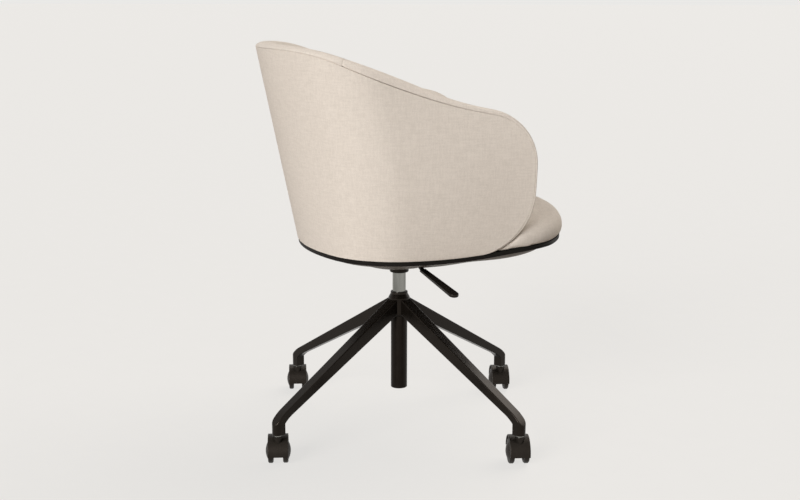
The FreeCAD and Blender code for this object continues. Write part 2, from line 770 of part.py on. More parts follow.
def make_valve_block():
    return ring(CYLINDER_BORE - SEAT_FIT, PIN_R + RUN, CYLINDER_TOP - VALVE_LENGTH, CYLINDER_TOP)


def make_release_pin():
    top = LEVER_PIVOT[1] - LEVER_FINGER_THICK / 2 - PLAY
    pin = disc(PIN_R, top - PIN_LENGTH, top)
    return pin.makeFillet(PIN_R / 2, rim_circles(pin, top))


def make_piston_rod():
    rod = disc(ROD_R, FLOOR_BOTTOM - ROD_BELOW_FLOOR, PISTON_BOTTOM)
    flange = disc(ROD_R + FLANGE_LIP, ROD_FLANGE, ROD_FLANGE + FLANGE_THICK)
    neck = disc(ROD_R - ROD_NECK, ROD_FLANGE, PISTON_BOTTOM + PISTON_LENGTH)
    return rod.fuse(flange).fuse(neck).removeSplitter()


def make_piston():
    neck = ROD_R - ROD_NECK + SEAT_FIT
    body = ring(CYLINDER_BORE - RUN, neck, PISTON_BOTTOM, PISTON_BOTTOM + PISTON_LENGTH)
    low = PISTON_BOTTOM + (PISTON_LENGTH - PISTON_GROOVE) / 2
    return body.cut(ring(CYLINDER_R, CYLINDER_BORE - CYLINDER_WALL, low, low + PISTON_GROOVE))


def make_bearing_top_washer():
    return ring(BEARING_R, ROD_R + SEAT_FIT, TOP_WASHER, TOP_WASHER + WASHER_THICK)


def make_buffer():
    return ring(ROD_R + BUFFER_WALL, ROD_R + SEAT_FIT, BUFFER_BOTTOM, BUFFER_BOTTOM + BUFFER_LENGTH)


def make_retaining_clip():
    top = FLOOR_BOTTOM - SOFT_GAP
    outer, half = ROD_R + CLIP_WIDTH, CLIP_OPENING / 2
    clip = ring(outer, ROD_R + SEAT_FIT, top - CLIP_THICK, top)
    return clip.cut(block((0, 2 * outer), (-half, half), (0, HIGH)))


def make_column_tube():
    tube = ring(TUBE_R, TUBE_BORE, TUBE_BOTTOM, TUBE_TOP)
    low = [e for e in rim_circles(tube, TUBE_BOTTOM) if e.BoundBox.XLength > TUBE_R + TUBE_BORE]
    return tube.makeFillet(min(TUBE_EDGE, 0.8 * TUBE_WALL), low)


def make_tube_floor():
    return ring(TUBE_BORE - SEAT_FIT, ROD_R + RUN, FLOOR_BOTTOM, FLOOR_TOP)


def make_bearing_bottom_washer():
    return ring(BEARING_R, ROD_R + SOFT_GAP, FLOOR_TOP, FLOOR_TOP + WASHER_THICK)


def make_bearing_balls():
    height = FLOOR_TOP + WASHER_THICK + BALL_GAP + BALL_R
    pitch = (BEARING_R + ROD_R + SOFT_GAP) / 2
    turns = [2 * math.pi * k / BALL_COUNT for k in range(BALL_COUNT)]
    places = [V(pitch * math.cos(t), pitch * math.sin(t), height) for t in turns]
    return group([Part.makeSphere(BALL_R, place) for place in places])


def make_guide_bush():
    sleeve = disc(TUBE_BORE - SEAT_FIT, TUBE_TOP - BUSH_LENGTH, TUBE_TOP)
    top = TUBE_TOP + BUSH_FLANGE
    cap = disc(TUBE_R + BUSH_LIP, TUBE_TOP, top)
    cap = cap.makeFillet(BUSH_EDGE, rim_circles(cap, top))
    return sleeve.fuse(cap).cut(disc(CYLINDER_R + RUN, 0, HIGH)).removeSplitter()


# Base

def make_base_hub():
    low, top, slope = TUBE_TOP - HUB_LENGTH, TUBE_TOP, HUB_CHAMFER
    bore = TUBE_R + SEAT_FIT
    corners = [(bore, low), (HUB_R - slope, low), (HUB_R, low + slope), (HUB_R, top - 2 * slope),
               (TUBE_R + BUSH_LIP, top), (bore, top)]
    wire = Part.makePolygon([V(r, 0, z) for r, z in corners + corners[:1]])
    return Part.Face(wire).revolve(ORIGIN, UP, 360)


def leg_profile():
    """The leg in its own upright plane, from the column's axis down to the stub."""
    outer, inner = SWIVEL_R + STUB_R, SWIVEL_R - STUB_R
    shoulder = STUB_BOTTOM + STUB_LENGTH
    top_root = (0.0, TUBE_TOP + LEG_TOP_ABOVE_TUBE)
    low_root = (0.0, TUBE_TOP - HUB_LENGTH + LEG_LOW_ABOVE_HUB)
    top_end = (SWIVEL_R - LEG_TOP_BEND, STUB_BOTTOM + LEG_TOP_END_RISE)
    low_end = (SWIVEL_R - LEG_LOW_BEND, STUB_BOTTOM + LEG_LOW_END_RISE)

    def slope(a, b):
        return math.degrees(math.atan2(b[1] - a[1], b[0] - a[0]))

    def p(place):
        return V(place[0], 0, place[1])

    top_arc = arc_points([top_end, (outer, shoulder)], slope(top_root, top_end))[0]
    low_arc = arc_points([low_end, (inner, shoulder)], slope(low_root, low_end))[0]
    return Part.Face(Part.Wire([
        Part.makeLine(p(top_root), p(top_end)),
        Part.Arc(*[p(q) for q in top_arc]).toShape(),
        Part.makeLine(p(top_arc[2]), V(outer, 0, STUB_BOTTOM)),
        Part.makeLine(V(outer, 0, STUB_BOTTOM), V(inner, 0, STUB_BOTTOM)),
        Part.makeLine(V(inner, 0, STUB_BOTTOM), p(low_arc[2])),
        Part.Arc(*[p(q) for q in reversed(low_arc)]).toShape(),
        Part.makeLine(p(low_end), p(low_root)),
        Part.makeLine(p(low_root), p(top_root))]))


def leg_plan():
    """The leg from above: tapered, with a round end on the castor's axis."""
    return Part.Face(Part.Wire([
        Part.makeLine(V(0, -LEG_ROOT_HALF, 0), V(SWIVEL_R, -STUB_R, 0)),
        Part.Arc(V(SWIVEL_R, -STUB_R, 0), V(SWIVEL_R + STUB_R, 0, 0), V(SWIVEL_R, STUB_R, 0)).toShape(),
        Part.makeLine(V(SWIVEL_R, STUB_R, 0), V(0, LEG_ROOT_HALF, 0)),
        Part.makeLine(V(0, LEG_ROOT_HALF, 0), V(0, -LEG_ROOT_HALF, 0))]))


def make_leg():
    thick = 2 * LEG_ROOT_HALF
    side_form = at(leg_profile(), V(0, -thick, 0)).extrude(V(0, 2 * thick, 0))
    leg = side_form.common(leg_plan().extrude(V(0, 0, HIGH)))
    long_edges = [e for e in leg.Edges if e.BoundBox.XLength > SWIVEL_R / 2]
    leg = leg.makeFillet(LEG_EDGE, long_edges)
    leg = leg.cut(disc(HUB_R + WELD_GAP, 0, HIGH))
    return leg.cut(disc(SOCKET_R + SEAT_FIT, 0, SOCKET_TOP, V(SWIVEL_R, 0, 0)))


def leg_turns():
    return [45.0 + BASE_TURN + 360.0 * k / LEG_COUNT for k in range(LEG_COUNT)]


def swivel_places():
    turns = [math.radians(t) for t in leg_turns()]
    return [V(SWIVEL_R * math.cos(t), SWIVEL_R * math.sin(t), 0) for t in turns]


def make_castor_sockets():
    bore = STEM_R + SEAT_FIT
    return group([ring(SOCKET_R, bore, STUB_BOTTOM, SOCKET_TOP, place) for place in swivel_places()])


def make_castor_stems():
    stems = []
    for place in swivel_places():
        stem = disc(STEM_R, HOOD_TOP - STEM_REACH, SOCKET_TOP, place)
        flange = disc(STEM_R + STEM_FLANGE_LIP, STUB_BOTTOM - STEM_FLANGE, STUB_BOTTOM, place)
        stems.append(stem.fuse(flange).removeSplitter())
    return group(stems)


# Castors, drawn with the stem on the Z axis, the trail along +X and the axle along Y

def axle_rod(radius, y_from, y_to):
    return Part.makeCylinder(radius, y_to - y_from, V(TRAIL, y_from, WHEEL_R), V(0, 1, 0))


def make_castor_hood():
    """Round roof over both wheels, a web between them, and a boss for the stem."""
    roof = axle_rod(HOOD_R, -HOOD_HALF, HOOD_HALF)
    roof = roof.makeFillet(HOOD_EDGE, [e for e in roof.Edges if e.BoundBox.YLength < TOUCH])
    inside = axle_rod(HOOD_INNER, -2 * HOOD_HALF, 2 * HOOD_HALF)
    middle = axle_rod(HOOD_R, -HOOD_WEB_HALF, HOOD_WEB_HALF)
    roof = roof.cut(inside.cut(middle))
    boss_foot = V(0, 0, HOOD_TOP - BOSS_LENGTH)
    boss = Part.makeCone(STEM_R + BOSS_FOOT_WALL, BOSS_R, BOSS_LENGTH, boss_foot, UP).cut(inside)
    web_top = WHEEL_R + HOOD_R - HOOD_WEB_DROP
    web = block((-BOSS_R, TRAIL + HOOD_WEB_BACK), (-HOOD_WEB_HALF, HOOD_WEB_HALF), (HOOD_LOW_NEAR, web_top))
    hood = roof.fuse(boss).fuse(web.common(inside))
    across = (-2 * HOOD_HALF, 2 * HOOD_HALF)
    far_low = block((TRAIL + HOOD_FAR_START, FAR), across, (-HIGH, HOOD_LOW_FAR))
    near_low = block((-FAR, FAR), across, (-HIGH, HOOD_LOW_NEAR))
    axle_boss = axle_rod(AXLE_R + AXLE_BOSS_WALL, -HOOD_WEB_HALF, HOOD_WEB_HALF)
    hood = hood.cut(far_low).cut(near_low).fuse(axle_boss)
    hood = hood.cut(axle_rod(AXLE_R + SEAT_FIT, -HOOD_HALF, HOOD_HALF))
    bore_low = HOOD_TOP - STEM_REACH - STEM_END_GAP
    return hood.cut(disc(STEM_R + RUN, bore_low, HIGH)).removeSplitter()


def wheel_inner():
    return HOOD_WEB_HALF + WHEEL_SIDE_GAP


def make_castor_axle():
    half = wheel_inner() + WHEEL_WIDTH - WHEEL_SKIN - AXLE_END_GAP
    return axle_rod(AXLE_R, -half, half)


def make_castor_wheel(sign):
    """Tread and domed disc, turned from one section of radius and distance along the axle."""
    inner, outer = wheel_inner(), wheel_inner() + WHEEL_WIDTH
    shoulder = outer - WHEEL_DOME
    bore, hub = AXLE_R + RUN, AXLE_R + WHEEL_HUB_WALL
    rim = WHEEL_R - WHEEL_TYRE
    disc_edge = rim - WHEEL_GROOVE_WIDTH
    dome_mid = (disc_edge / 2, outer - WHEEL_DOME / 4)
    skin = outer - WHEEL_SKIN
    recess = inner + WHEEL_RECESS
    points = [(WHEEL_CAP_R, outer), (0, outer), (0, skin), (bore, skin), (bore, inner),
              (hub, inner), (hub, recess), (disc_edge, recess), (disc_edge, inner),
              (WHEEL_R - WHEEL_EDGE, inner), (WHEEL_R, inner + WHEEL_EDGE), (WHEEL_R, shoulder - WHEEL_EDGE),
              (WHEEL_R - WHEEL_EDGE, shoulder), (rim, shoulder),
              (rim - WHEEL_GROOVE_WIDTH / 2, shoulder - WHEEL_GROOVE), (disc_edge, shoulder)]
    corners = [V(r, y, 0) for r, y in points]
    edges = [Part.makeLine(a, b) for a, b in zip(corners, corners[1:])]
    edges.append(Part.Arc(corners[-1], V(dome_mid[0], dome_mid[1], 0), corners[0]).toShape())
    wheel = Part.Face(Part.Wire(edges)).revolve(ORIGIN, V(0, 1, 0), 360)
    if sign < 0:
        wheel = wheel.mirror(ORIGIN, V(0, 1, 0))
    return at(wheel, V(TRAIL, 0, WHEEL_R))


def castor_placed(shape, place):
    return at(turned(shape, CASTOR_TURN), place)


# All pieces by name

inner_pad = tub_pad()
nodes = {
    "tub_outer_panel": make_tub_panel(),
    "tub_shell": make_tub_shell(),
    "tub_back_pad": make_back_pad(inner_pad),
    "tub_left_pad": make_side_pad(inner_pad, 1),
    "tub_right_pad": make_side_pad(inner_pad, -1),
    "seat_board": make_seat_board(),
    "seat_cushion": make_seat_cushion(),
    "underside_cover": make_underside_cover(),
    "cover_screws": make_cover_screws(),
    "tub_screws": make_tub_screws(),
    "seat_plate": make_seat_plate(),
    "plate_bolts": make_plate_bolts(),
    "board_nuts": make_board_nuts(),
    "mechanism_housing": make_mechanism_housing(),
    "lever_pivot": make_lever_pivot(),
    "lever_arm": make_lever_arm(),
    "lever_paddle": make_lever_paddle(),
    "release_pin": make_release_pin(),
    "gas_cylinder": make_gas_cylinder(),
    "rod_gland": make_rod_gland(),
    "valve_block": make_valve_block(),
    "piston_rod": make_piston_rod(),
    "piston": make_piston(),
    "bearing_top_washer": make_bearing_top_washer(),
    "rod_buffer": make_buffer(),
    "retaining_clip": make_retaining_clip(),
    "column_tube": make_column_tube(),
    "tube_floor": make_tube_floor(),
    "bearing_bottom_washer": make_bearing_bottom_washer(),
    "bearing_balls": make_bearing_balls(),
    "guide_bush": make_guide_bush(),
    "base_hub": make_base_hub(),
    "castor_sockets": make_castor_sockets(),
    "castor_stems": make_castor_stems(),
}
leg = make_leg()
for number, turn in enumerate(leg_turns(), 1):
    nodes["leg_%d" % number] = turned(leg, turn)
hood = make_castor_hood()
axle = make_castor_axle()
wheels = {"a": make_castor_wheel(1), "b": make_castor_wheel(-1)}
for number, place in enumerate(swivel_places(), 1):
    nodes["castor_hood_%d" % number] = castor_placed(hood, place)
    nodes["castor_axle_%d" % number] = castor_placed(axle, place)
    for letter, wheel in wheels.items():
        nodes["castor_wheel_%d%s" % (number, letter)] = castor_placed(wheel, place)

os.makedirs("parts", exist_ok=True)
for name, shape in nodes.items():
    shape.exportStep("parts/%s.step" % name)
    print(name, "solids", len(shape.Solids), "valid", shape.isValid(), "volume %.0f" % shape.Volume)
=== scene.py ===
"""Looks of the upholstered tub chair: its covers, finishes, floor, light and camera.

Metres, +Z up, the chair faces -Y.  The covers are worked out in millimetres.
"""
import bmesh
import bpy
import math
from collections import namedtuple
import numpy as np
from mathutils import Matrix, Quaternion, Vector


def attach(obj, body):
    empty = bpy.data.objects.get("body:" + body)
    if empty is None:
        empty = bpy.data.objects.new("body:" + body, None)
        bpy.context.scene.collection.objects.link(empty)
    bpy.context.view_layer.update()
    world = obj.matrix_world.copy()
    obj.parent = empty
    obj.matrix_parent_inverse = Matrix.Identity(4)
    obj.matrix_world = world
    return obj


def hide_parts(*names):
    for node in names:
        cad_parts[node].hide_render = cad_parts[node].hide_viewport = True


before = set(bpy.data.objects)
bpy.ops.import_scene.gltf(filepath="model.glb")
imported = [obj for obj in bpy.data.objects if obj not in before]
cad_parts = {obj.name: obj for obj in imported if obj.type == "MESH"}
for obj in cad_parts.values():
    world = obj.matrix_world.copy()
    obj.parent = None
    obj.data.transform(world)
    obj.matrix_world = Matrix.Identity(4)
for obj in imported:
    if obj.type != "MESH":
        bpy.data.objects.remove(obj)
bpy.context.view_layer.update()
scene = bpy.context.scene
MM = 0.001
QUARTER = math.pi / 2

# Outline of the tub, in millimetres.  Heights are above the board's top, forward is towards the chair's front, insets
# are depths below the tub's surface, and the way round starts at the middle of the back.
BOARD_TOP = 414.0
BOARD_HALF = 262.0
TUB_BACK = 212.0
TUB_NOSE = 385.0
TUB_LEAN = 0.203
BACK_ROUND = 400.0
CORNER_ROUND = 150.0
FRONT_ROUND = 110.0
NOSE_ROUND = 380.0
FLARE_AT = (-21.0, 87.0, 174.0, 285.0, 419.0)
FLARE = (-1.4, 19.0, 28.0, 27.0, 27.0)
MIDDLE_RISE = 200.0
WAY_STEPS = 500

# The bent board under the tub, and the height at which the tub's foot is taken
BEND_START = -20.0
BEND_RADIUS = 1039.1
FOOT_RISE = 8.0
FOOT_EASE = 3

# The tub's edge in side view as (forward, height), its slope at the back, and how the rim's roll lifts each point or
# brings it forward
EDGE = ((-319.8, 388.0), (-165.0, 366.5), (-5.0, 306.0), (120.0, 275.5), (201.5, 181.0), (200.5, 122.0),
        (108.5, 8.0))
EDGE_SLOPE = 7.8
EDGE_STEPS = 60
STRAIGHT = 1e-9
ROLL_BACK = 8.5
ROLL_SHOULDER = 15.5
ROLL_ARM = 9.0
ROLL_FRONT = 4.5
EDGE_ROLL = ((0, ROLL_BACK), (0, ROLL_SHOULDER), (0, ROLL_SHOULDER), (0, ROLL_ARM), (ROLL_FRONT, 0), (ROLL_FRONT, 0),
             (ROLL_FRONT, 0))
RIM_END_SLOPE = -45.0
FIRST_RISE = 360.0
RISE_ROUNDS = 12

# The outer panel's cover: insets, lengths, counts of its mesh, rounded border, stitch line and full sides
PANEL_OUT = 2.0
PANEL_IN = 9.8
PANEL_GAP = 0.5
PANEL_TOP_LENGTH = 640.0
PANEL_RISE_LENGTH = 300.0
PANEL_COLUMNS = 110
PANEL_ROWS = 60
PANEL_EVEN_TOP = (0.0, 0.97)
PANEL_EVEN_RISE = (0.04, 0.96)
PANEL_BORDER = np.array([0.0, 0.5, 1.2, 2.1, 3.2, 4.6, 6.2, 8.0, 11.0])
PANEL_ROUND = 0.7
STITCH_DEPTH = 0.22
STITCH_AT = 6.6
STITCH_SPREAD = 1.3
SIDE_FULL = 7.0
FULL_FROM = 300.0
FULL_TO = 640.0
FULL_ALONG_POWER = 1.5
FULL_UP_POWER = 0.7

# The inner pad's cover: insets, gap above the board, counts of its mesh and cross seam on the rim
PAD_BEHIND = 20.0
PAD_BEHIND_ROLL = 0.02
PAD_IN = 55.2
PAD_GAP = 2.0
PAD_BORDER_DROP = 24.0
PAD_TOP_LENGTH = 619.5
PAD_COLUMNS = 84
PAD_ROWS = 44
PAD_HELD_RINGS = 12
ARM_START = 420.0
ARM_FULL = 560.0
CROSS_SEAM = 318.0
CROSS_SEAM_COLUMNS = np.array([-5, -3.2, -1.8, -0.8, 0, 0.8, 1.8, 3.2, 5])
CROSS_SEAM_DEPTH = 1.1
CROSS_SEAM_SPREAD = 1.9

# The pad's cover from the outer seam over the rim, at the back and at the arms: inset, share of the roll, and drop
# below the rolled edge
BACK_SECTION = ((11.0, 0.02, 0), (2.6, 0.02, 0), (2.1, 0.09, 0), (2.3, 0.21, 0), (3.8, 0.42, 0), (6.8, 0.62, 0),
                (10.2, 0.80, 0), (14.0, 0.93, 0), (19.5, 0.99, 0), (27.0, 1.0, 0), (34.0, 1.0, 0.2), (40.0, 1.0, 0.9),
                (46.5, 1.0, 2.6), (51.0, 1.0, 5.6), (54.0, 1.0, 10.5), (PAD_IN, 1.0, 17.0))
ARM_SECTION = ((11.0, 0.02, 0), (2.6, 0.02, 0), (2.1, 0.055, 0), (2.0, 0.28, 0), (2.0, 0.50, 0), (2.5, 0.70, 0),
               (4.2, 0.87, 0), (7.5, 0.965, 0), (13.0, 1.0, 0), (20.0, 1.0, 0), (30.0, 1.0, 0.2), (39.3, 1.0, 0.8),
               (46.0, 1.0, 2.4), (51.0, 1.0, 5.5), (54.0, 1.0, 10.5), (PAD_IN, 1.0, 17.0))

# The cushion's cover and the filling out of the covers, in metres
CUSHION_VOXEL = 0.005
CUSHION_EASE = 0.5
CUSHION_EASE_ROUNDS = 6
CUSHION_UNDER = -0.5
PAD_SWELL = 0.0025
CUSHION_SWELL = 0.003
SWELL_PRESSURE = 4.0
SWELL_FRAMES = 18
CLOTH = {"quality": 4, "mass": 0.3, "tension_stiffness": 20, "compression_stiffness": 20, "shear_stiffness": 10,
         "bending_stiffness": 1.0, "use_pressure": True, "uniform_pressure_force": SWELL_PRESSURE,
         "vertex_group_mass": "held"}
WALL_FILL = 0.7
CUSHION_FILL = 0.75

# Fabric: pitch of its threads in metres, sharpness of the change between planes, and shares of its tones
THREAD_PITCH = 0.0016
FACING_POWER = 4.0
FLOCK_TONE = 0.34
THREAD_TONE = 0.29
WORN_TONE = 0.08
CLOTH_TONE = 0.10
CLOTH_HEIGHT = 0.5
FLOCK_HEIGHT = 0.8
UPRIGHT = (1.0, 1.0, 0.16)
LEVEL = (0.16, 0.16, 1.0)
FABRIC_TONES = (0.655, 0.588, 0.522), (0.757, 0.687, 0.616)

# Coats of the hard pieces
BROAD_TONE = 0.6
SCUFF_TONE = 0.4
NEUTRAL = (1.0, 1.0, 1.0)
WARM = (1.0, 0.84, 0.72)

# Floor, light and camera
BACKDROP = (0.823, 0.815, 0.799)
FLOOR_SIZE = 4000.0
FLOOR_AT = -0.0006
FLOOR_GLOW = 0.62
FLOOR_TONE = (1.112, 1.099, 1.076)
WORLD_TONE = (1.0, 0.96, 0.91)
WORLD_STRENGTH = 0.07
CAMERA_AT = Vector((-2.4563, 0.4998, 0.8898))
HEADING = (0.97992, -0.19937)
TILT = 0.1991
ROLL = 0.002
LENS = 55.03
SENSOR = 36.0
SHIFT = 0.001


# Outline of the tub

def spline(at, value):
    """A natural cubic through points, as a function of arrays."""
    x = np.array(at)
    y = np.array(value)
    n = len(x)
    h = np.diff(x)
    a = np.eye(n)
    b = np.zeros(n)
    for i in range(1, n - 1):
        a[i, i - 1:i + 2] = h[i - 1], 2 * (h[i - 1] + h[i]), h[i]
        b[i] = 6 * ((y[i + 1] - y[i]) / h[i] - (y[i] - y[i - 1]) / h[i - 1])
    m = np.linalg.solve(a, b)

    def value_at(t):
        t = np.clip(np.asarray(t, float), x[0], x[-1])
        i = np.clip(np.searchsorted(x, t) - 1, 0, n - 2)
        p = x[i + 1] - t
        q = t - x[i]
        s = h[i]
        return (m[i] * p ** 3 / (6 * s) + m[i + 1] * q ** 3 / (6 * s)
                + (y[i] / s - m[i] * s / 6) * p + (y[i + 1] / s - m[i + 1] * s / 6) * q)
    return value_at


flare_at = spline(FLARE_AT, FLARE)
Outline = namedtuple("Outline", "half r_back r_corner r_front back_mid corner_mid front_mid back_turn nose_turn")


def outline(rise, inset):
    """Half width, radii, centres and end turns of the arcs of the tub's outline at a height."""
    back = TUB_BACK + TUB_LEAN * rise - inset
    half = BOARD_HALF + flare_at(rise) - inset
    r_back = BACK_ROUND - inset
    r_corner = CORNER_ROUND - inset
    r_front = FRONT_ROUND - inset
    r_nose = NOSE_ROUND - inset
    back_mid = r_back - back
    corner_mid = back_mid - np.sqrt((r_back - r_corner) ** 2 - (half - r_corner) ** 2)
    nose_mid = TUB_NOSE - inset - r_nose
    front_mid = nose_mid + np.sqrt((r_nose - r_front) ** 2 - (half - r_front) ** 2)
    back_turn = np.arctan2(half - r_corner, corner_mid - back_mid)
    nose_turn = np.arctan2(half - r_front, front_mid - nose_mid)
    return Outline(half, r_back, r_corner, r_front, back_mid, corner_mid, front_mid, back_turn, nose_turn)


def part_lengths():
    """Lengths of the back, corner, side and front of half the outline, at a middle height."""
    o = outline(MIDDLE_RISE, 0.0)
    return np.array([o.r_back * (math.pi - o.back_turn), o.r_corner * (o.back_turn - QUARTER),
                     o.front_mid - o.corner_mid, o.r_front * (QUARTER - o.nose_turn)])


STOPS = np.concatenate([[0.0], np.cumsum(part_lengths())])
WAYS = np.linspace(0.0, STOPS[-1], WAY_STEPS)


def tub_plan(along, rise, inset):
    """Forward and across of the tub's surface; along is the way round from the back's middle, with a sign."""
    along, rise, inset = np.broadcast_arrays(*(np.asarray(v, float) for v in (along, rise, inset)))
    place = np.interp(np.abs(along), STOPS, np.arange(len(STOPS), dtype=float))
    o = outline(rise, inset)
    t = math.pi + (o.back_turn - math.pi) * place
    forward = o.back_mid + o.r_back * np.cos(t)
    across = o.r_back * np.sin(t)
    t = o.back_turn + (QUARTER - o.back_turn) * (place - 1)
    corner = place > 1
    forward = np.where(corner, o.corner_mid + o.r_corner * np.cos(t), forward)
    across = np.where(corner, o.half - o.r_corner + o.r_corner * np.sin(t), across)
    flat = place > 2
    forward = np.where(flat, o.corner_mid + (o.front_mid - o.corner_mid) * (place - 2), forward)
    across = np.where(flat, o.half, across)
    t = QUARTER + (o.nose_turn - QUARTER) * (place - 3)
    front = place > 3
    forward = np.where(front, o.front_mid + o.r_front * np.cos(t), forward)
    across = np.where(front, o.half - o.r_front + o.r_front * np.sin(t), across)
    return forward, across * np.where(along < 0, -1.0, 1.0)


def tub_points(along, rise, inset):
    """Points of the tub's surface in the chair's frame."""
    forward, across = tub_plan(along, rise, inset)
    return np.stack([across, -forward, BOARD_TOP + np.broadcast_to(rise, across.shape)], -1)


def way_round(forward, rise, inset):
    """The way round at which the tub's surface has these forward distances at these heights."""
    return np.array([np.interp(f, tub_plan(WAYS, r, inset)[0], WAYS) for f, r in zip(forward, rise)])


def board_rise(forward):
    """Height of the bent board's top."""
    reach = np.maximum(np.asarray(forward, float) - BEND_START, 0.0)
    return BEND_RADIUS - np.sqrt(BEND_RADIUS ** 2 - reach ** 2)


def edge_line(share):
    """The tub's edge in side view, rolled out by a share of the rim's roll: arcs that run on smoothly."""
    chain = [(p[0] + share * g[0], p[1] + share * g[1]) for p, g in zip(EDGE, EDGE_ROLL)]
    heading = math.radians(EDGE_SLOPE)
    line = []
    for start, end in zip(chain, chain[1:]):
        chord = math.atan2(end[1] - start[1], end[0] - start[0])
        bow = (chord - heading + math.pi) % (2 * math.pi) - math.pi
        length = math.dist(start, end)
        for f in np.linspace(0, 1, EDGE_STEPS, endpoint=False):
            reach = length * (math.sin(f * bow) / math.sin(bow) if abs(bow) > STRAIGHT else f)
            line.append((start[0] + reach * math.cos(heading + f * bow),
                         start[1] + reach * math.sin(heading + f * bow)))
        heading += 2 * bow
    line.append(chain[-1])
    return np.array(line)


def half_border(share, inset, drop, top_at, front_at):
    """Half of the tub's border, as way round and height: along the rim, then down the arm's front.

    share is the share of the rim's roll, drop a distance in from that edge.
    """
    line = edge_line(share)
    slope = np.degrees(np.arctan2(np.gradient(line[:, 1]), np.gradient(line[:, 0])))
    split = int(np.argmax(slope < RIM_END_SLOPE))
    split_way = way_round([line[split, 0]], [line[split, 1]], inset)[0]
    ways = np.asarray(top_at) * split_way
    rise = np.full(len(ways), FIRST_RISE)
    for _ in range(RISE_ROUNDS):
        rise = np.interp(tub_plan(ways, rise, inset)[0], line[:split + 1, 0], line[:split + 1, 1])
    top = np.stack([ways, rise], -1)
    tail = line[split:]
    run = np.concatenate([[0.0], np.cumsum(np.linalg.norm(np.diff(tail, axis=0), axis=1))])
    stops = np.asarray(front_at) * run[-1]
    forward = np.interp(stops, run, tail[:, 0])
    height = np.interp(stops, run, tail[:, 1])
    front = np.stack([way_round(forward, height, inset), height], -1)
    whole = np.concatenate([top, front[1:]])
    if drop:
        step = np.gradient(whole, axis=0)
        step[0, 1] = 0.0
        step /= np.linalg.norm(step, axis=1)[:, None]
        whole = whole + drop * np.stack([step[:, 1], -step[:, 0]], -1)
    return whole[:len(top)], whole[len(top) - 1:]


def border(share, inset, drop, grid):
    """Left front from the foot up, rim from left to right, right front from the foot up."""
    top, front = half_border(share, inset, drop, grid["top"], grid["front"])
    mirror = np.array([-1.0, 1.0])
    rim = np.concatenate([(top * mirror)[::-1], top[1:]])
    return (front * mirror)[::-1], rim, front[::-1]


def patch(share, inset, drop, gap, grid):
    """Way round and height over the tub's wall inside a border, down to a gap above the board."""
    left, rim, right = border(share, inset, drop, grid)
    low_ways = rim[:, 0] * left[0, 0] / rim[0, 0]
    low_rise = board_rise(tub_plan(low_ways, FOOT_RISE, inset)[0]) + gap
    low = np.stack([low_ways, low_rise], -1)
    left = left.copy()
    right = right.copy()
    for column in (left, right):
        column[:, 1] += (low_rise[0] - column[0, 1]) * np.linspace(1, 0, len(column)) ** FOOT_EASE
    u = ((rim[:, 0] - rim[0, 0]) / (rim[-1, 0] - rim[0, 0]))[None, :, None]
    v = np.asarray(grid["up"])[:, None, None]
    sides = (1 - u) * left[:, None] + u * right[:, None]
    ends = (1 - v) * low[None] + v * rim[None]
    corners = (1 - u) * (1 - v) * left[0] + u * (1 - v) * right[0] + (1 - u) * v * left[-1] + u * v * right[-1]
    return sides + ends - corners


# Meshes

def grid_faces(rows, columns, first, flip=False):
    """Faces between the rows and columns of a grid of points."""
    index = np.arange(rows * columns).reshape(rows, columns) + first
    quads = np.stack([index[:-1, :-1], index[:-1, 1:], index[1:, 1:], index[1:, :-1]], -1).reshape(-1, 4)
    return quads[:, ::-1] if flip else quads


def ring_of(rows, columns, first):
    """A grid's left side from the foot up, its top and its right side down, as vertex numbers."""
    index = np.arange(rows * columns).reshape(rows, columns) + first
    return np.concatenate([index[:, 0], index[-1, 1:-1], index[::-1, -1]])


def strip_faces(one, other):
    """Faces between two rows of vertex numbers."""
    return np.stack([one[:-1], other[:-1], other[1:], one[1:]], -1)


def new_mesh(name, points, faces):
    """An object in the scene from points in millimetres."""
    mesh = bpy.data.meshes.new(name)
    mesh.from_pydata((np.asarray(points) * MM).tolist(), [], [list(map(int, f)) for f in faces])
    mesh.validate()
    mesh.update()
    obj = bpy.data.objects.new(name, mesh)
    scene.collection.objects.link(obj)
    return obj


def face_outward(obj):
    """Turns all faces to the outside of a closed cover and shades it smooth."""
    work = bmesh.new()
    work.from_mesh(obj.data)
    bmesh.ops.recalc_face_normals(work, faces=work.faces[:])
    for face in work.faces:
        face.smooth = True
    work.to_mesh(obj.data)
    work.free()
    return obj


def coordinates(mesh):
    """The vertices' places as an array."""
    flat = np.zeros(len(mesh.vertices) * 3)
    mesh.vertices.foreach_get("co", flat)
    return flat.reshape(-1, 3)


def set_coordinates(mesh, points):
    """Moves the vertices to these places."""
    mesh.vertices.foreach_set("co", np.asarray(points, float).ravel())
    mesh.update()


def normals(mesh):
    """The vertices' normals as an array."""
    mesh.update()
    flat = np.zeros(len(mesh.vertices) * 3)
    mesh.vertices.foreach_get("normal", flat)
    return flat.reshape(-1, 3)


def refine(obj):
    """Rounds a cover's mesh by one subdivision."""
    extra = obj.modifiers.new("finer", "SUBSURF")
    extra.levels = 1
    extra.render_levels = 1


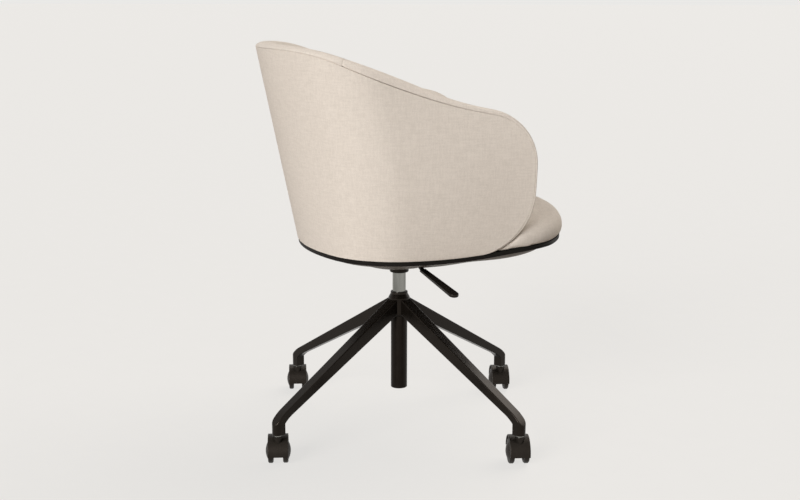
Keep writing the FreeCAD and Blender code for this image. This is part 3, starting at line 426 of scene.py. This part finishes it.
def swell(obj, held, cap):
    """Lets a cover fill out as stuffed cloth: each point moves outward only, and no further than a cap."""
    start = coordinates(obj.data)
    outward = normals(obj.data)
    group = obj.vertex_groups.new(name="held")
    group.add([int(i) for i in held], 1.0, "REPLACE")
    cloth = obj.modifiers.new("stuffed", "CLOTH")
    for key, value in CLOTH.items():
        setattr(cloth.settings, key, value)
    cloth.settings.effector_weights.gravity = 0
    cloth.collision_settings.use_collision = False
    for number in range(1, SWELL_FRAMES + 1):
        scene.frame_set(number)
    shaped = obj.evaluated_get(bpy.context.evaluated_depsgraph_get())
    moved = coordinates(shaped.data) - start
    push = np.maximum((moved * outward).sum(1), 0.0)
    obj.modifiers.remove(cloth)
    scene.frame_set(1)
    set_coordinates(obj.data, start + outward * (cap * np.tanh(push / cap))[:, None])


# Covers

def shares(stops, near):
    """Sorted shares from 0 to 1, an even row and some extra places."""
    return np.unique(np.round(np.concatenate([stops, near]), 6))


def fullness(along, v):
    """How far the padded side stands out between the back corner and the arm's front."""
    over = np.clip((np.abs(along) - FULL_FROM) / (FULL_TO - FULL_FROM), 0, 1)
    up = np.sin(math.pi * np.clip(v, 0, 1)) ** FULL_UP_POWER
    return SIDE_FULL * np.sin(math.pi * over) ** FULL_ALONG_POWER * up


def outer_panel():
    """The tub's outside cover: an even wall whose borders round off into the seams."""
    ends = np.concatenate([PANEL_BORDER, PANEL_RISE_LENGTH - PANEL_BORDER]) / PANEL_RISE_LENGTH
    grid = {"top": shares(np.linspace(*PANEL_EVEN_TOP, PANEL_COLUMNS), 1 - PANEL_BORDER / PANEL_TOP_LENGTH),
            "front": shares(np.linspace(*PANEL_EVEN_RISE, PANEL_ROWS), ends)}
    grid["up"] = 1 - grid["front"][::-1]
    flat = patch(0.0, PANEL_OUT, 0.0, PANEL_GAP, grid)
    rows, columns = flat.shape[:2]
    v = grid["up"][:, None]
    u = (flat[:, :, 0] - flat[:, :1, 0]) / (flat[:, -1:, 0] - flat[:, :1, 0])
    from_front = np.minimum(u, 1 - u) * 2 * PANEL_TOP_LENGTH
    from_seam = np.minimum(from_front, (1 - v) * PANEL_RISE_LENGTH)
    from_border = np.minimum(from_seam, v * PANEL_RISE_LENGTH)
    short = np.clip(PANEL_ROUND - from_border, 0, PANEL_ROUND)
    sink = PANEL_ROUND - np.sqrt(np.maximum(PANEL_ROUND ** 2 - short ** 2, 0))
    stitch = STITCH_DEPTH * np.exp(-((from_seam - STITCH_AT) / STITCH_SPREAD) ** 2)
    inset = PANEL_OUT + sink + stitch - fullness(flat[..., 0], v)
    outside = tub_points(flat[..., 0], flat[..., 1], inset)
    inside = tub_points(flat[..., 0], flat[..., 1], PANEL_IN)
    points = np.concatenate([outside.reshape(-1, 3), inside.reshape(-1, 3)])
    first = rows * columns
    outer_ring = ring_of(rows, columns, 0)
    inner_ring = ring_of(rows, columns, first)
    bottom = np.arange(columns)
    faces = np.concatenate([grid_faces(rows, columns, 0), grid_faces(rows, columns, first, True),
                            strip_faces(outer_ring, inner_ring), strip_faces(bottom + first, bottom)])
    return face_outward(new_mesh("tub_panel_cover", points, faces))


def pad_ring(at_back, at_arm, grid):
    """Points of one line of the pad's section, carried along the border from arm to arm."""
    lines = []
    for inset, share, drop in (at_back, at_arm):
        left, rim, right = border(share, inset, drop, grid)
        lines.append(np.concatenate([left, rim[1:-1], right[::-1]]))
    arm = np.clip((np.abs(lines[0][:, 0]) - ARM_START) / (ARM_FULL - ARM_START), 0, 1)
    arm = arm * arm * (3 - 2 * arm)
    line = (1 - arm)[:, None] * lines[0] + arm[:, None] * lines[1]
    inset = (1 - arm) * at_back[0] + arm * at_arm[0]
    low = board_rise(tub_plan(line[:1, 0], FOOT_RISE, inset[:1])[0]) + PAD_GAP
    line[:, 1] = np.maximum(line[:, 1], low)
    return tub_points(line[:, 0], line[:, 1], inset)


def inner_pad():
    """The tub's inside pad, whose cover comes over the rim as far as the outer seam.

    Returns the object, each point's way round and the points that the filling out leaves in place.
    """
    grid = {"top": shares(np.linspace(0, 1, PAD_COLUMNS), (CROSS_SEAM + CROSS_SEAM_COLUMNS) / PAD_TOP_LENGTH),
            "front": np.linspace(0, 1, PAD_ROWS)}
    grid["up"] = 1 - grid["front"][::-1]
    facing = patch(1.0, PAD_IN, PAD_BORDER_DROP, PAD_GAP, grid)
    behind = patch(PAD_BEHIND_ROLL, PAD_BEHIND, 0.0, PAD_GAP, grid)
    rows, columns = facing.shape[:2]
    count = rows * columns
    points = [tub_points(facing[..., 0], facing[..., 1], PAD_IN).reshape(-1, 3),
              tub_points(behind[..., 0], behind[..., 1], PAD_BEHIND).reshape(-1, 3)]
    faces = [grid_faces(rows, columns, 0), grid_faces(rows, columns, count, True)]
    rings = [ring_of(rows, columns, count)]
    first = 2 * count
    for at_back, at_arm in zip(BACK_SECTION, ARM_SECTION):
        points.append(pad_ring(at_back, at_arm, grid))
        rings.append(np.arange(first, first + len(points[-1])))
        first += len(points[-1])
    rings.append(ring_of(rows, columns, 0))
    faces += [strip_faces(one, other) for one, other in zip(rings, rings[1:])]
    bottom = np.arange(columns)
    faces.append(strip_faces(bottom, bottom + count))
    faces = [list(f) for part in faces for f in part]
    faces.append([r[0] for r in rings])
    faces.append([r[-1] for r in rings][::-1])
    obj = face_outward(new_mesh("tub_pad_cover", np.concatenate(points), faces))
    places = np.concatenate([-grid["top"][::-1], grid["top"][1:]]) * PAD_TOP_LENGTH
    front = np.full(rows, PAD_TOP_LENGTH)
    ring_places = np.concatenate([-front, places[1:-1], front])
    ways = np.concatenate([np.tile(places, 2 * rows)] + [ring_places] * len(BACK_SECTION))
    held = np.zeros(len(ways), bool)
    held[count:2 * count] = True
    held[bottom] = True
    for ring in rings[1:1 + PAD_HELD_RINGS]:
        held[ring] = True
    for ring in rings:
        held[ring[[0, -1]]] = True
    return obj, ways, np.nonzero(held)[0]


def seat_cushion():
    """The cushion's cover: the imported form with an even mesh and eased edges."""
    obj = bpy.data.objects.new("seat_cushion_cover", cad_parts["seat_cushion"].data.copy())
    scene.collection.objects.link(obj)
    even = obj.modifiers.new("even", "REMESH")
    even.mode = "VOXEL"
    even.voxel_size = CUSHION_VOXEL
    ease = obj.modifiers.new("ease", "SMOOTH")
    ease.factor = CUSHION_EASE
    ease.iterations = CUSHION_EASE_ROUNDS
    shaped = obj.evaluated_get(bpy.context.evaluated_depsgraph_get())
    mesh = bpy.data.meshes.new_from_object(shaped)
    obj.modifiers.clear()
    obj.data = mesh
    return face_outward(obj)


# Materials

def material(name):
    """A new material with its node tree and its shader."""
    made = bpy.data.materials.new(name)
    made.use_nodes = True
    tree = made.node_tree
    tree.nodes.clear()
    shader = tree.nodes.new("ShaderNodeBsdfPrincipled")
    output = tree.nodes.new("ShaderNodeOutputMaterial")
    tree.links.new(shader.outputs["BSDF"], output.inputs["Surface"])
    return made, tree, shader


def node(tree, kind, values=None, **settings):
    """A new node with its settings and the values of its inputs."""
    made = tree.nodes.new(kind)
    for key, value in settings.items():
        setattr(made, key, value)
    for key, value in (values or {}).items():
        made.inputs[key].default_value = value
    return made


def math_node(tree, operation, first, second=0.0):
    """The result of an operation on two numbers or outputs."""
    made = node(tree, "ShaderNodeMath", operation=operation)
    for socket, value in zip(made.inputs, (first, second)):
        if isinstance(value, (int, float)):
            socket.default_value = value
        else:
            tree.links.new(value, socket)
    return made.outputs[0]


def weighted(tree, *parts):
    """The sum of (output, weight) pairs."""
    total = None
    for source, weight in parts:
        piece = math_node(tree, "MULTIPLY", source, weight)
        total = piece if total is None else math_node(tree, "ADD", total, piece)
    return total


def ramp(tree, source, stops):
    """A colour ramp from (place, colour) pairs."""
    made = node(tree, "ShaderNodeValToRGB")
    band = made.color_ramp
    while len(band.elements) < len(stops):
        band.elements.new(0.5)
    for element, (place, colour) in zip(band.elements, stops):
        element.position = place
        element.color = (*colour, 1.0)
    tree.links.new(source, made.inputs["Fac"])
    return made.outputs["Color"]


def grey(value):
    return (value, value, value)


def noise(tree, place, scale, detail, rough, stretch=None):
    """A noise pattern over a place, which stretch may draw out in one direction."""
    if stretch:
        mapping = node(tree, "ShaderNodeMapping", {"Scale": stretch})
        tree.links.new(place, mapping.inputs["Vector"])
        place = mapping.outputs["Vector"]
    made = node(tree, "ShaderNodeTexNoise", {"Scale": scale, "Detail": detail, "Roughness": rough})
    tree.links.new(place, made.inputs["Vector"])
    return made.outputs["Fac"]


def background_rays(tree):
    """1 for rays of the camera and for mirrored and passed ones, which see the background's own tone, else 0."""
    path = node(tree, "ShaderNodeLightPath")
    onward = math_node(tree, "MAXIMUM", path.outputs["Is Glossy Ray"], path.outputs["Is Transmission Ray"])
    return math_node(tree, "MAXIMUM", path.outputs["Is Camera Ray"], onward)


def blend_shaders(tree, share, one, other, output):
    """Mixes two shaders by a share into the output."""
    blend = node(tree, "ShaderNodeMixShader")
    tree.links.new(share, blend.inputs["Fac"])
    tree.links.new(one, blend.inputs[1])
    tree.links.new(other, blend.inputs[2])
    tree.links.new(blend.outputs["Shader"], output.inputs["Surface"])


def bump(tree, height, shader, strength, distance):
    """A fine relief on a shader's normal."""
    made = node(tree, "ShaderNodeBump", {"Strength": strength, "Distance": distance})
    tree.links.new(height, made.inputs["Height"])
    tree.links.new(made.outputs["Normal"], shader.inputs["Normal"])


def woven(name, dark, light):
    """A fine plain weave seen from all sides.

    Two rows of threads in each of three planes are mixed by the way a place faces.
    """
    made, tree, shader = material(name)
    where = node(tree, "ShaderNodeTexCoord")
    place = where.outputs["Object"]
    parts = node(tree, "ShaderNodeSeparateXYZ")
    tree.links.new(place, parts.inputs[0])
    facing = node(tree, "ShaderNodeSeparateXYZ")
    tree.links.new(where.outputs["Normal"], facing.inputs[0])
    turns = 2 * math.pi / THREAD_PITCH
    waves = [math_node(tree, "SINE", math_node(tree, "MULTIPLY", parts.outputs[i], turns)) for i in range(3)]
    weights = [math_node(tree, "POWER", math_node(tree, "ABSOLUTE", facing.outputs[i]), FACING_POWER)
               for i in range(3)]
    total = math_node(tree, "ADD", math_node(tree, "ADD", weights[0], weights[1]), weights[2])
    planes = []
    for i in range(3):
        crossing = math_node(tree, "MULTIPLY", waves[(i + 1) % 3], waves[(i + 2) % 3])
        planes.append((crossing, math_node(tree, "DIVIDE", weights[i], total)))
    cloth = weighted(tree, *planes)
    flock = noise(tree, place, scale=420.0, detail=3.0, rough=0.6)
    upright = noise(tree, place, scale=330.0, detail=2.0, rough=0.5, stretch=UPRIGHT)
    level = noise(tree, place, scale=330.0, detail=2.0, rough=0.5, stretch=LEVEL)
    worn = noise(tree, place, scale=4.0, detail=2.0, rough=0.5)
    threads = math_node(tree, "ADD", upright, level)
    shade = weighted(tree, (flock, FLOCK_TONE), (threads, THREAD_TONE), (worn, WORN_TONE), (cloth, CLOTH_TONE))
    tree.links.new(ramp(tree, shade, ((0.38, dark), (0.62, light))), shader.inputs["Base Color"])
    tree.links.new(ramp(tree, flock, ((0.3, grey(0.86)), (0.7, grey(0.96)))), shader.inputs["Roughness"])
    shader.inputs["Specular IOR Level"].default_value = 0.08
    shader.inputs["Sheen Weight"].default_value = 0.03
    shader.inputs["Sheen Roughness"].default_value = 0.45
    height = weighted(tree, (cloth, CLOTH_HEIGHT), (flock, FLOCK_HEIGHT))
    bump(tree, height, shader, strength=0.35, distance=0.0004)
    return made


def finish_coat(name, dark, light, rough, metal=0.0, grain=700.0, depth=0.0001, dust=0.0, stretch=None, gloss=0.5,
                tint=NEUTRAL):
    """A painted, moulded or plated surface: mottled colour, uneven gloss and a fine grain."""
    made, tree, shader = material(name)
    place = node(tree, "ShaderNodeTexCoord").outputs["Object"]
    broad = noise(tree, place, scale=14.0, detail=5.0, rough=0.6, stretch=stretch)
    fine = noise(tree, place, scale=grain, detail=2.0, rough=0.5, stretch=stretch)
    scuff = noise(tree, place, scale=55.0, detail=6.0, rough=0.7, stretch=stretch)
    shade = weighted(tree, (broad, BROAD_TONE), (scuff, SCUFF_TONE))
    stops = [(0.3, dark), (0.6, light)]
    if dust:
        stops.append((0.78, tuple(c + dust for c in light)))
    tree.links.new(ramp(tree, shade, stops), shader.inputs["Base Color"])
    tree.links.new(ramp(tree, scuff, ((0.3, grey(rough[0])), (0.7, grey(rough[1])))), shader.inputs["Roughness"])
    shader.inputs["Metallic"].default_value = metal
    shader.inputs["Specular IOR Level"].default_value = gloss
    shader.inputs["Specular Tint"].default_value = (*tint, 1.0)
    bump(tree, fine, shader, strength=0.3, distance=depth)
    return made


COATS = {
    "moulded_shell": dict(dark=(0.05, 0.048, 0.045), light=(0.08, 0.077, 0.072), rough=(0.5, 0.65)),
    "seat_board_black": dict(dark=(0.006, 0.0055, 0.005), light=(0.012, 0.011, 0.010), rough=(0.42, 0.6),
                             stretch=(1.0, 1.0, 9.0), gloss=0.06, tint=WARM),
    "dark_plastic": dict(dark=(0.140, 0.117, 0.100), light=(0.180, 0.153, 0.132), rough=(0.40, 0.55),
                         grain=900.0, gloss=0.16, tint=WARM),
    "black_steel": dict(dark=(0.0040, 0.0030, 0.0022), light=(0.0075, 0.0058, 0.0044), rough=(0.28, 0.38),
                        gloss=0.14, tint=WARM),
    "base_metal": dict(dark=(0.0030, 0.0023, 0.0017), light=(0.0058, 0.0045, 0.0034), rough=(0.22, 0.32),
                       dust=0.003, gloss=0.20, tint=WARM),
    # The plating's colour runs from dark to light in upright bands of stretched noise: painted reflection bands that
    # stand in for what the polished tube mirrors
    "bright_cylinder": dict(dark=(0.12, 0.12, 0.11), light=(0.35, 0.35, 0.33), rough=(0.12, 0.22), metal=1.0,
                            grain=260.0, depth=0.00003, stretch=(1.0, 1.0, 0.08)),
    "zinc_steel": dict(dark=(0.50, 0.50, 0.49), light=(0.64, 0.63, 0.60), rough=(0.28, 0.42), metal=1.0),
    "brass_valve": dict(dark=(0.50, 0.36, 0.14), light=(0.62, 0.47, 0.22), rough=(0.25, 0.4), metal=1.0),
    "buffer_rubber": dict(dark=(0.012, 0.012, 0.012), light=(0.022, 0.021, 0.020), rough=(0.7, 0.85)),
    "castor_plastic": dict(dark=(0.0075, 0.0062, 0.0050), light=(0.0135, 0.0115, 0.0096), rough=(0.30, 0.42),
                           grain=900.0, dust=0.004, gloss=0.22, tint=WARM),
    "castor_wheel": dict(dark=(0.0085, 0.0072, 0.0062), light=(0.0155, 0.0136, 0.0120), rough=(0.36, 0.55),
                         dust=0.008, gloss=0.22, tint=WARM),
}
FABRIC = woven("seat_fabric", *FABRIC_TONES)
FINISH = {"seat_fabric": FABRIC}
for name, coat in COATS.items():
    FINISH[name] = finish_coat(name, **coat)

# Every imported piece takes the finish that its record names
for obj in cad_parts.values():
    slots = [s.material.name.split(".")[0] for s in obj.material_slots if s.material]
    known = [s for s in slots if s in FINISH]
    obj.data.materials.clear()
    obj.data.materials.append(FINISH[known[0]] if known else FINISH["black_steel"])


def dress(obj, fill, *stands_for):
    """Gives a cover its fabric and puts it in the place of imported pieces."""
    obj.data.materials.clear()
    obj.data.materials.append(FABRIC)
    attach(obj, "seat")
    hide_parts(*stands_for)


panel = outer_panel()
dress(panel, WALL_FILL, "tub_outer_panel")

pad, pad_ways, pad_held = inner_pad()
swell(pad, pad_held, PAD_SWELL)
groove = CROSS_SEAM_DEPTH * np.exp(-((np.abs(pad_ways) - CROSS_SEAM) / CROSS_SEAM_SPREAD) ** 2)
set_coordinates(pad.data, coordinates(pad.data) - normals(pad.data) * (groove * MM)[:, None])
refine(pad)
dress(pad, WALL_FILL, "tub_back_pad", "tub_left_pad", "tub_right_pad")

cushion = seat_cushion()
cushion_held = np.nonzero(normals(cushion.data)[:, 2] < CUSHION_UNDER)[0]
swell(cushion, cushion_held, CUSHION_SWELL)
refine(cushion)
dress(cushion, CUSHION_FILL, "seat_cushion")


# Floor, light and camera

def studio_floor():
    """A pale floor that runs out of sight; most of its tone is its own, so only faint shadows show on it."""
    bpy.ops.mesh.primitive_plane_add(size=FLOOR_SIZE, location=(0, 0, FLOOR_AT))
    floor = bpy.context.object
    floor.name = "floor"
    made = finish_coat("floor", dark=(0.355, 0.335, 0.310), light=(0.375, 0.355, 0.330), rough=(0.8, 0.9),
                       grain=300.0, depth=0.00002, gloss=0.1)
    tree = made.node_tree
    glow = node(tree, "ShaderNodeEmission", {"Color": (*FLOOR_TONE, 1.0), "Strength": 1.0})
    share = math_node(tree, "MULTIPLY", background_rays(tree), FLOOR_GLOW)
    blend_shaders(tree, share, tree.nodes["Principled BSDF"].outputs["BSDF"], glow.outputs["Emission"],
                  tree.nodes["Material Output"])
    floor.data.materials.append(made)


def studio_world():
    """Even light from all round, seen by the camera and in reflections as the backdrop's own tone."""
    world = bpy.data.worlds.new("studio")
    scene.world = world
    world.use_nodes = True
    tree = world.node_tree
    light = tree.nodes["Background"]
    light.inputs["Color"].default_value = (*WORLD_TONE, 1.0)
    light.inputs["Strength"].default_value = WORLD_STRENGTH
    seen = node(tree, "ShaderNodeBackground", {"Color": (*BACKDROP, 1.0), "Strength": 1.0})
    blend_shaders(tree, background_rays(tree), light.outputs["Background"], seen.outputs["Background"],
                  tree.nodes["World Output"])


def sun(name, strength, azimuth, elevation, spread, colour):
    """A broad far light; azimuth is the side it comes from, 0 from -Y and 90 from +X."""
    data = bpy.data.lights.new(name, "SUN")
    data.energy = strength
    data.angle = math.radians(spread)
    data.color = colour
    obj = bpy.data.objects.new(name, data)
    scene.collection.objects.link(obj)
    a = math.radians(azimuth)
    e = math.radians(elevation)
    from_side = Vector((math.sin(a) * math.cos(e), -math.cos(a) * math.cos(e), math.sin(e)))
    obj.rotation_euler = (-from_side).to_track_quat("-Z", "Y").to_euler()


def photo_camera():
    """The camera at the photograph's viewing angle."""
    lens = bpy.data.cameras.new("camera")
    lens.lens = LENS
    lens.sensor_width = SENSOR
    lens.shift_x = SHIFT
    camera = bpy.data.objects.new("camera", lens)
    scene.collection.objects.link(camera)
    camera.location = CAMERA_AT
    looking = Vector((HEADING[0] * math.cos(TILT), HEADING[1] * math.cos(TILT), -math.sin(TILT)))
    camera.rotation_mode = "QUATERNION"
    camera.rotation_quaternion = looking.to_track_quat("-Z", "Y") @ Quaternion((0, 0, 1), ROLL)
    scene.camera = camera


studio_floor()
studio_world()
sun("key", strength=3.05, azimuth=226.0, elevation=20.0, spread=32.0, colour=(1.0, 0.99, 0.98))
sun("front", strength=2.2, azimuth=30.0, elevation=47.0, spread=60.0, colour=(1.0, 0.955, 0.90))
photo_camera()
scene.view_settings.view_transform = "Standard"
